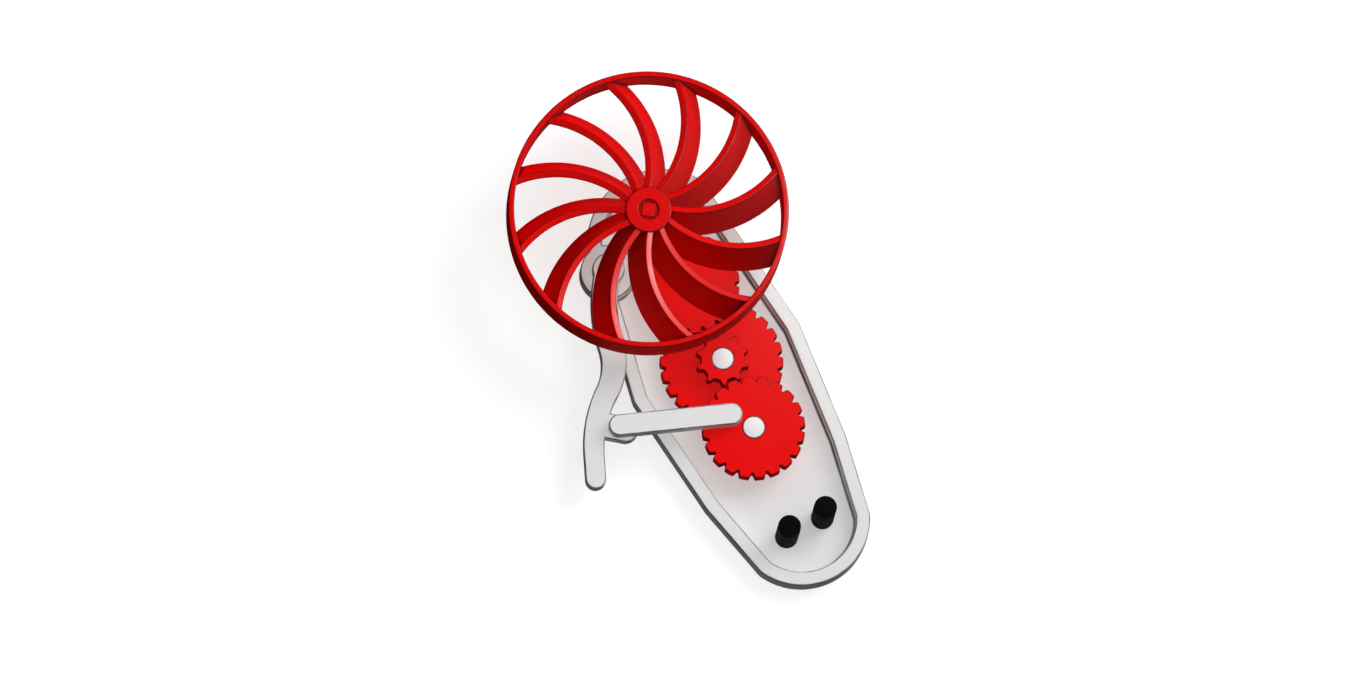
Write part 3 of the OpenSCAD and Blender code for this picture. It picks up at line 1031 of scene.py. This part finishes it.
@dataclass
class GearTrain:
    """The gears that speed the crank up to the fan, and their axles.

    The sizes of the teeth are in modules.
    """

    module: float = 1.5
    wheel_tip_over: float = 1 / 6
    wheel_tip_w: float = 1.8
    wheel_notch_w: float = 0.27
    pinion_tip_over: float = 1 / 3
    pinion_tip_w: float = 0.6
    pinion_root_w: float = 1.45
    tip_slope: float = 0.5
    axle_r: float = AXLE_R
    square_w: float = SQUARE_W
    square_angle: float = SQUARE_ANGLE
    tooth_round: float = 0.26
    axle_round: float = 0.35
    gears: tuple[Gear, ...] = (
        Gear("crank_gear", "crank_axle", "crank", 20, Toothing.WHEEL, -30.5),
        Gear("big_gear", "middle_axle", "middle", 24, Toothing.WHEEL, 8.75),
        Gear("middle_pinion", "middle_axle", "middle", 10, Toothing.PINION, 154.9),
        Gear("upper_pinion", "upper_axle", "upper", 9, Toothing.PINION, 130.1667),
        Gear("upper_gear", "upper_axle", "upper", 20, Toothing.WHEEL, -29.2),
        Gear("fan_pinion", "fan_shaft", "fan", 10, Toothing.PINION, 183.2),
    )

    def tooth(self, gear: Gear) -> list[Vector]:
        """Corners of one tooth about the gear's axis, and the next tooth's first.

        Args:
            gear: The gear.

        Returns:
            The corners, turning left.
        """
        m, slope = self.module, self.tip_slope * self.module
        if gear.toothing is Toothing.WHEEL:
            tip_r, tip_w = m * (gear.teeth / 2 + self.wheel_tip_over), m * self.wheel_tip_w
            root_r = tip_r - m
            root_w = math.tau * root_r / gear.teeth - m * self.wheel_notch_w
        else:
            tip_r, tip_w = m * (gear.teeth / 2 + self.pinion_tip_over), m * self.pinion_tip_w
            root_r, root_w = tip_r - m, m * self.pinion_root_w
        steps = [(root_r, root_w), (tip_r - slope, tip_w + slope), (tip_r, tip_w)]
        middle = gear.notch + 180 / gear.teeth
        rise = [r * flat(middle - math.degrees(w / 2 / r)) for r, w in steps]
        fall = [r * flat(middle + math.degrees(w / 2 / r)) for r, w in reversed(steps)]
        following = root_r * flat(middle + 360 / gear.teeth - math.degrees(root_w / 2 / root_r))
        return [*rise, tip_r * flat(middle), *fall, following]

    def build(self, gear: Gear) -> bpy.types.Object:
        """Cuts one gear: a tooth is repeated round the axle, filled and raised.

        Args:
            gear: The gear.

        Returns:
            The gear's object.
        """
        at = place_of(gear.axle)
        low, high = layer_of(gear.node)
        mesh = bmesh.new()
        corners = [mesh.verts.new((at.x + p.x, at.y + p.y, low)) for p in self.tooth(gear)]
        sides = [mesh.edges.new(pair) for pair in zip(corners, corners[1:])]
        bmesh.ops.spin(
            mesh, geom=corners + sides, cent=(at.x, at.y, 0.0), axis=UP,
            angle=math.tau * (gear.teeth - 1) / gear.teeth, steps=gear.teeth - 1, use_duplicate=True,
        )
        bmesh.ops.remove_doubles(mesh, verts=mesh.verts[:], dist=MERGE_MM)
        bmesh.ops.contextual_create(mesh, geom=mesh.edges[:])
        disc = Solid(mesh).raised(high - low)
        disc.softened(low, self.tooth_round).softened(high, self.tooth_round)
        return disc.minus(self.bore(gear, at, low, high)).finished(f"{gear.node}_toothed")

    def bore(self, gear: Gear, at: Vector, low: float, high: float) -> Solid:
        """Makes the cutter of a gear's hole: round on an axle, square on the fan shaft.

        Args:
            gear: The gear.
            at: Its axis in the front plane.
            low: Level of its back.
            high: Level of its front.

        Returns:
            The cutter.
        """
        if gear.axle in AXLES:
            return Solid.drill(at, self.axle_r + RUN_GAP, low, high)
        square = self.square_w + 2 * SEAT_GAP
        return square_bar(at, square, self.square_angle, low - THROUGH, high + THROUGH)

    def build_axle(self, node: str) -> bpy.types.Object:
        """Turns a fixed axle with rounded ends.

        Args:
            node: The axle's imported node.

        Returns:
            The axle's object.
        """
        low, high = layer_of(node)
        section = [(0.0, low), (self.axle_r, low), (self.axle_r, high), (0.0, high)]
        return Solid.turned(place_of(node), section, self.axle_round).finished(f"{node}_turned")

    def make(self) -> None:
        """Builds and dresses every gear and axle."""
        for gear in self.gears:
            dress(self.build(gear), RED_LIT_SHADED_WALLS, gear.body, gear.node)
        for node in AXLES:
            dress(self.build_axle(node), AXLE_PLASTIC_LIT, "tray", node)


def square_bar(at: Vector, width: float, angle: float, low: float, high: float) -> Solid:
    """Upright square bar between two levels, with its sides along an angle."""
    corner = width / math.sqrt(2)
    return Solid.prism([at + corner * flat(angle + 45 + 90 * k) for k in range(4)], low, high)


@dataclass
class Linkage:
    """The squeeze lever on the tray's ear, and the link to the crank gear.

    Each of the lever's curves has its turn in degrees and its length, and the widths are
    those at the curves' ends.
    """

    lever_angle: float = 227.0
    curves: tuple[Point, ...] = ((32.0, 23.0), (-44.5, 14.5), (30.5, 19.6))
    end_len: float = 7.2
    widths: tuple[float, ...] = (7.9, 7.9, 7.0, 6.1)
    eye_r: float = 4.8
    pin_r: float = LEVER_PIN_R
    lug_len: float = 6.8
    lug_place: float = 0.52
    lug_r: float = 3.8
    lug_over: float = 2.0
    link_pin_r: float = 1.5
    lever_round: float = 0.5
    curve_steps: int = 14
    tip_steps: int = 20
    link_w: float = 6.4
    link_skin: float = 1.5
    link_round: float = 0.5
    pocket_half_w: float = 2.6
    pocket_slide: float = 1.2

    def strip(self, mesh: Mesh, level: float) -> None:
        """Spins a rung along the lever's curves and narrows it on its way.

        Args:
            mesh: The mesh to build in.
            level: Level of the lever's back.
        """
        at, angle = place_of("lever_pin"), self.lever_angle
        ends = [at + side * self.widths[0] / 2 * flat(angle + 90) for side in (-1, 1)]
        pair = [mesh.verts.new((p.x, p.y, level)) for p in ends]
        rung = [*pair, mesh.edges.new(pair)]
        for (turn, length), (start_w, end_w) in zip(self.curves, zip(self.widths, self.widths[1:])):
            radius = length / math.radians(turn)
            centre = at + radius * flat(angle + 90)
            for k in range(self.curve_steps):
                rung = bmesh.ops.spin(
                    mesh, geom=rung, cent=(centre.x, centre.y, level), axis=UP,
                    angle=math.radians(turn) / self.curve_steps, steps=1,
                )["geom_last"]
                grown = (end_w - start_w) / self.curve_steps
                self.narrow(mesh, rung, (start_w + grown * (k + 1)) / (start_w + grown * k))
            angle += turn
            at = centre - radius * flat(angle + 90)
        last = [e for e in rung if isinstance(e, bmesh.types.BMEdge)]
        tips = verts_of(bmesh.ops.extrude_edge_only(mesh, edges=last)["geom"])
        run = self.end_len * flat(angle)
        bmesh.ops.translate(mesh, verts=tips, vec=(run.x, run.y, 0.0))
        at += run
        right = min(tips, key=lambda v: (v.co.xy - at).dot(flat(angle + 90)))
        bmesh.ops.spin(
            mesh, geom=[right], cent=(at.x, at.y, level), axis=UP, angle=math.pi, steps=self.tip_steps
        )
        bmesh.ops.remove_doubles(mesh, verts=mesh.verts[:], dist=MERGE_MM)
        tip = [
            e for e in mesh.edges
            if (e.verts[0].co.xy + e.verts[1].co.xy - 2 * at).dot(flat(angle)) > -MERGE_MM
        ]
        bmesh.ops.contextual_create(mesh, geom=tip)

    @staticmethod
    def narrow(mesh: Mesh, rung: list[Element], share: float) -> None:
        """Scales a rung about its own middle.

        Args:
            mesh: The lever's mesh.
            rung: The rung's two points and its edge.
            share: Its new width as a share of the old.
        """
        pair = verts_of(rung)
        middle = (pair[0].co + pair[1].co) / 2
        bmesh.ops.scale(mesh, vec=(share, share, 1.0), space=Matrix.Translation(-middle), verts=pair)

    def build_lever(self) -> bpy.types.Object:
        """Moulds the lever with its eye and lug.

        Returns:
            The lever's object.
        """
        low, high = layer_of("lever")
        pivot, link_pin = place_of("lever_pin"), place_of("link_pin")
        mesh = bmesh.new()
        self.strip(mesh, low)
        lever = Solid(mesh).raised(high - low)
        (first, _), (second, _), (third, _) = self.curves
        turn = self.lever_angle + first + second + self.lug_place * third
        root = link_pin - self.lug_len * flat(turn + 90)
        side = self.lug_r * flat(turn)
        tip = arc(link_pin + self.lug_over * flat(turn + 90), self.lug_r, turn, turn + 180, END_STEPS)
        lug = Solid.prism([root + side, *tip, root - side], low, high)
        lever.plus(Solid.cylinder(pivot, self.eye_r, low, high), lug).flattened()
        lever.softened(low, self.lever_round).softened(high, self.lever_round)
        lever.minus(
            Solid.drill(pivot, self.pin_r + RUN_GAP, low, high),
            Solid.drill(link_pin, self.link_pin_r + SEAT_GAP, low, high),
        )
        return lever.finished("lever_moulded")

    def build_link(self) -> bpy.types.Object:
        """Moulds the link with its two blind holes.

        Returns:
            The link's object.
        """
        low, high = layer_of("link")
        start, end = place_of("link_pin"), place_of("crank_pin")
        along = (end - start).normalized()
        link = Solid.prism(stadium(start, end, self.link_w), low, high)
        link.softened(low, self.link_round / 2).softened(high, self.link_round)
        slide = stadium(end - self.pocket_slide * along, end, 2 * self.pocket_half_w)
        link.minus(
            Solid.cylinder(start, self.link_pin_r + RUN_GAP, low - THROUGH, high - self.link_skin),
            Solid.prism(slide, low - THROUGH, high - self.link_skin),
        )
        return link.finished("link_moulded")

    def make(self, nodes: dict[str, bpy.types.Object]) -> None:
        """Builds and dresses the lever and the link, and paints their pins.

        Args:
            nodes: The frame's nodes.
        """
        dress(self.build_lever(), WHITE_PLASTIC, "lever", "lever")
        dress(self.build_link(), WHITE_PLASTIC, "link", "link")
        repaint(nodes, WHITE_PLASTIC, "lever_pin")
        repaint(nodes, DRAWN_STEEL, "link_pin", "crank_pin")


@dataclass
class FanWheel:
    """The moulded fan wheel and the shaft that it sits on."""

    ring_r: float = 41.5
    ring_wall: float = 1.75
    hub_r: float = 6.8
    blade_count: int = 12
    blade_t: float = 2.1
    blade_curve_r: float = 32.0
    blade_offset: float = 2.4
    blade_pitch: float = 21.7
    blade_angle: float = 10.0
    blade_inset: float = 0.3
    blade_root_r: float = 5.2
    blade_round: float = 0.3
    blade_steps: int = 30
    recess_r: float = 3.0
    recess_depth: float = 2.5
    ring_round: float = 0.4
    ring_steps: int = 192
    hub_round: float = 0.35
    square_w: float = SQUARE_W
    square_angle: float = SQUARE_ANGLE
    square_round: float = 0.2
    journal_r: float = 2.0
    shoulder_r: float = 4.0

    def blade(self, at: Vector, low: float, high: float, angle: float) -> Solid:
        """Spins a leaning blade section round the blade's own curve.

        Args:
            at: Fan axis in the front plane.
            low: Level of the wheel's back.
            high: Level of the wheel's front.
            angle: Direction of the curve's centre.

        Returns:
            The blade, from inside the hub to inside the ring.
        """
        across = flat(self.blade_pitch)
        lean = Vector((across.y, -across.x))
        depth = high - low - 2 * self.blade_inset
        length = (depth - self.blade_t * across.y) / across.x
        half = self.blade_t / 2 * across
        front = Vector((self.blade_curve_r, high - self.blade_inset - half.y))
        back = front + length * lean
        out = -flat(angle)
        centre = at - (self.blade_curve_r + self.blade_offset) * out
        mesh = bmesh.new()
        section = [front - half, back - half, back + half, front + half]
        corners = [mesh.verts.new((*(centre + p.x * out), p.y)) for p in section]
        draw_section(mesh, corners, corners, self.blade_round)
        rung = mesh.verts[:] + mesh.edges[:]
        self.seat(mesh, rung, centre, at, self.blade_root_r)
        stride = (self.ring_r - self.ring_wall / 2 - self.blade_root_r) / self.blade_steps
        for k in range(1, self.blade_steps + 1):
            rung = bmesh.ops.spin(
                mesh, geom=rung, cent=(centre.x, centre.y, 0.0), axis=UP,
                angle=stride / self.blade_curve_r, steps=1,
            )["geom_last"]
            self.seat(mesh, rung, centre, at, self.blade_root_r + k * stride)
        bmesh.ops.holes_fill(mesh, edges=mesh.edges[:], sides=0)
        return Solid(mesh).cleaned()

    @staticmethod
    def seat(mesh: Mesh, rung: list[Element], centre: Vector, at: Vector, reach: float) -> None:
        """Slides a blade section along its curve until it is a distance from the fan axis.

        Args:
            mesh: The blade's mesh.
            rung: The section's points and edges.
            centre: Centre of the blade's curve.
            at: Fan axis.
            reach: Distance from the fan axis.
        """
        home = at - centre
        for vert in verts_of(rung):
            arm = vert.co.xy - centre
            share = home.length_squared + arm.length_squared - reach**2
            turn = math.acos(share / (2 * home.length * arm.length))
            now = math.atan2(home.x * arm.y - home.y * arm.x, home.dot(arm))
            slide = Matrix.Rotation(turn - now, 3, "Z")
            bmesh.ops.rotate(mesh, cent=(centre.x, centre.y, 0.0), matrix=slide, verts=[vert])

    def build_wheel(self) -> bpy.types.Object:
        """Moulds the hub, blades and ring in one piece.

        Returns:
            The wheel's object.
        """
        at = place_of("fan_shaft")
        low, high = layer_of("fan_wheel")
        wheel = Solid.cylinder(at, self.hub_r, low, high)
        wheel.minus(Solid.cylinder(at, self.recess_r, high - self.recess_depth, high + THROUGH))
        wheel.softened(high, self.hub_round).softened(low, self.hub_round)
        square = self.square_w + 2 * SEAT_GAP
        wheel.minus(square_bar(at, square, self.square_angle, low - THROUGH, high))
        section = [
            (self.ring_r - self.ring_wall, low), (self.ring_r, low),
            (self.ring_r, high), (self.ring_r - self.ring_wall, high),
        ]
        turns = [self.blade_angle + 360 / self.blade_count * k for k in range(self.blade_count)]
        wheel.plus(*(self.blade(at, low, high, angle) for angle in turns))
        wheel.plus(Solid.turned(at, section, self.ring_round, self.ring_steps))
        return wheel.finished("fan_wheel_moulded")

    def build_shaft(self) -> bpy.types.Object:
        """Makes the shaft: a round journal, a shoulder and a square end.

        Returns:
            The shaft's object.
        """
        at = place_of("fan_shaft")
        low, high = layer_of("fan_shaft")
        gear_low, gear_high = layer_of("fan_pinion")
        hub_low, _ = layer_of("fan_wheel")
        shaft = square_bar(at, self.square_w, self.square_angle, gear_low, high)
        shaft.softened(high, self.square_round)
        shaft.plus(
            Solid.cylinder(at, self.shoulder_r, gear_high, hub_low),
            Solid.cylinder(at, self.journal_r, low, gear_low + SEAT_GAP),
        )
        return shaft.finished("fan_shaft_squared")

    def make(self) -> None:
        """Builds and dresses the wheel and its shaft."""
        dress(self.build_wheel(), RED_PLASTIC, "fan", "fan_wheel")
        dress(self.build_shaft(), RED_PLASTIC, "fan", "fan_shaft")


@dataclass
class Studio:
    """The pale floor, the soft lights and the camera at the picture's angle.

    The picture's own axes are unit vectors in the part's frame.
    """

    right: Triple = (0.8749, -0.4813, 0.0539)
    above: Triple = (0.4653, 0.8663, 0.1822)
    toward: Triple = (-0.1344, -0.1343, 0.9818)
    look_at_mm: Triple = (-7.74, 62.26, 7.5)
    picture_w_px: float = 1356.0
    px_per_mm: float = 3.387
    camera_m: float = 1.5
    floor_m: float = 4.0
    floor_drop_mm: float = 0.05
    floor_colour: Colour = grey(0.66)
    floor_rough: float = 0.9
    floor_glow: float = 0.4
    sky_strength: float = 0.45
    sky_full_at: float = 0.9
    low_sky_share: float = 0.1
    key_way: Triple = (0.60, 0.58, 0.55)
    key_m: float = 3.0
    key_side_m: float = 0.9
    key_watts: float = 68.0
    shade_side_m: float = 1.7
    shade_watts: float = 39.0
    sheen_target_mm: Triple = (20.0, 80.0, 31.0)
    sheen_mm: Triple = (77.8, 69.1, 91.0)
    sheen_side_m: float = 0.02
    sheen_watts: float = 0.38

    def aim(self, across: float, upward: float, forward: float) -> Vector:
        """Unit vector given along the picture's own axes."""
        return (
            across * Vector(self.right) + upward * Vector(self.above) + forward * Vector(self.toward)
        ).normalized()

    def make(self) -> None:
        """Sets up the floor, sky, lights and camera."""
        self.make_floor()
        self.make_sky()
        self.make_lights()
        self.make_camera()
        bpy.context.scene.view_settings.view_transform = "Standard"

    def make_floor(self) -> None:
        """Lays a pale matt floor under the part."""
        mesh = bmesh.new()
        bmesh.ops.create_grid(mesh, x_segments=1, y_segments=1, size=self.floor_m)
        bmesh.ops.translate(mesh, verts=mesh.verts[:], vec=(0.0, 0.0, -self.floor_drop_mm * MM))
        floor = put_mesh("floor", mesh)
        mesh.free()
        pale = bpy.data.materials.new("pale_floor")
        preset(NodeDesk(pale).shader, {
            "Base Color": (*self.floor_colour, 1.0),
            "Roughness": self.floor_rough,
            "Specular IOR Level": 0.0,
            "Emission Color": (*grey(1.0), 1.0),
            "Emission Strength": self.floor_glow,
        })
        floor.data.materials.append(pale)
        floor.visible_glossy = False
        floor.visible_diffuse = False

    def make_sky(self) -> None:
        """Lights the scene softly from above, and less from below."""
        world = bpy.data.worlds.new("sky")
        desk = NodeDesk(world, "Background")
        least = self.sky_strength * self.low_sky_share
        fade = desk.ranged(desk.upward("Generated"), 0.0, self.sky_full_at, least, self.sky_strength)
        desk.join(fade, desk.shader.inputs["Strength"])
        preset(desk.shader, {"Color": (*grey(1.0), 1.0)})
        # The sky lights the part and isn't mirrored in it, so the red stays deep.
        world.cycles_visibility.glossy = False
        bpy.context.scene.world = world

    def make_lights(self) -> None:
        """Hangs two matt key lights on one side and a small one whose sheen shows on the right."""
        way = self.aim(*self.key_way)
        arm, place = way * self.key_m, self.look_at_mm
        key = self.make_light("key_softbox", place, arm, self.key_side_m, self.key_watts)
        key.data.use_shadow = False
        shade = self.make_light("shade_softbox", place, arm, self.shade_side_m, self.shade_watts)
        for softbox in (key, shade):
            softbox.visible_glossy = False
        arm, place = (Vector(self.sheen_mm) - Vector(self.sheen_target_mm)) * MM, self.sheen_target_mm
        sheen = self.make_light("sheen_softbox", place, arm, self.sheen_side_m, self.sheen_watts)
        sheen.data.use_shadow = False
        sheen.visible_camera = False
        sheen.visible_diffuse = False

    @staticmethod
    def make_light(
        name: str, target_mm: Triple, arm: Vector, side_m: float, watts: float
    ) -> bpy.types.Object:
        """Hangs a square softbox that faces a point of the part.

        Args:
            name: Name of the light.
            target_mm: The point that it faces.
            arm: Way from that point to the light, in metres.
            side_m: Side of the square in metres.
            watts: Power of the light.

        Returns:
            The light's object.
        """
        light = bpy.data.lights.new(name, "AREA")
        light.size = side_m
        light.energy = watts
        holder = put(name, light)
        holder.location = Vector(target_mm) * MM + arm
        holder.rotation_euler = (-arm).to_track_quat("-Z", "Y").to_euler()
        return holder

    def make_camera(self) -> None:
        """Puts a parallel camera at the picture's angle and scale."""
        lens = bpy.data.cameras.new("picture_camera")
        lens.type = "ORTHO"
        lens.ortho_scale = self.picture_w_px / self.px_per_mm * MM
        camera = put("picture_camera", lens)
        axes = Matrix((self.right, self.above, self.toward)).transposed()
        place = Vector(self.look_at_mm) * MM + self.camera_m * Vector(self.toward)
        camera.matrix_world = Matrix.LocRotScale(place, axes.to_quaternion(), None)
        bpy.context.scene.camera = camera


def main() -> None:
    """Builds the part's looks in order."""
    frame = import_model()
    Studio().make()
    Tray().make(frame["nodes"])
    GearTrain().make()
    Linkage().make(frame["nodes"])
    FanWheel().make()


if __name__ == "__main__":
    logging.basicConfig(level=logging.INFO, format="%(name)s: %(message)s")
    main()
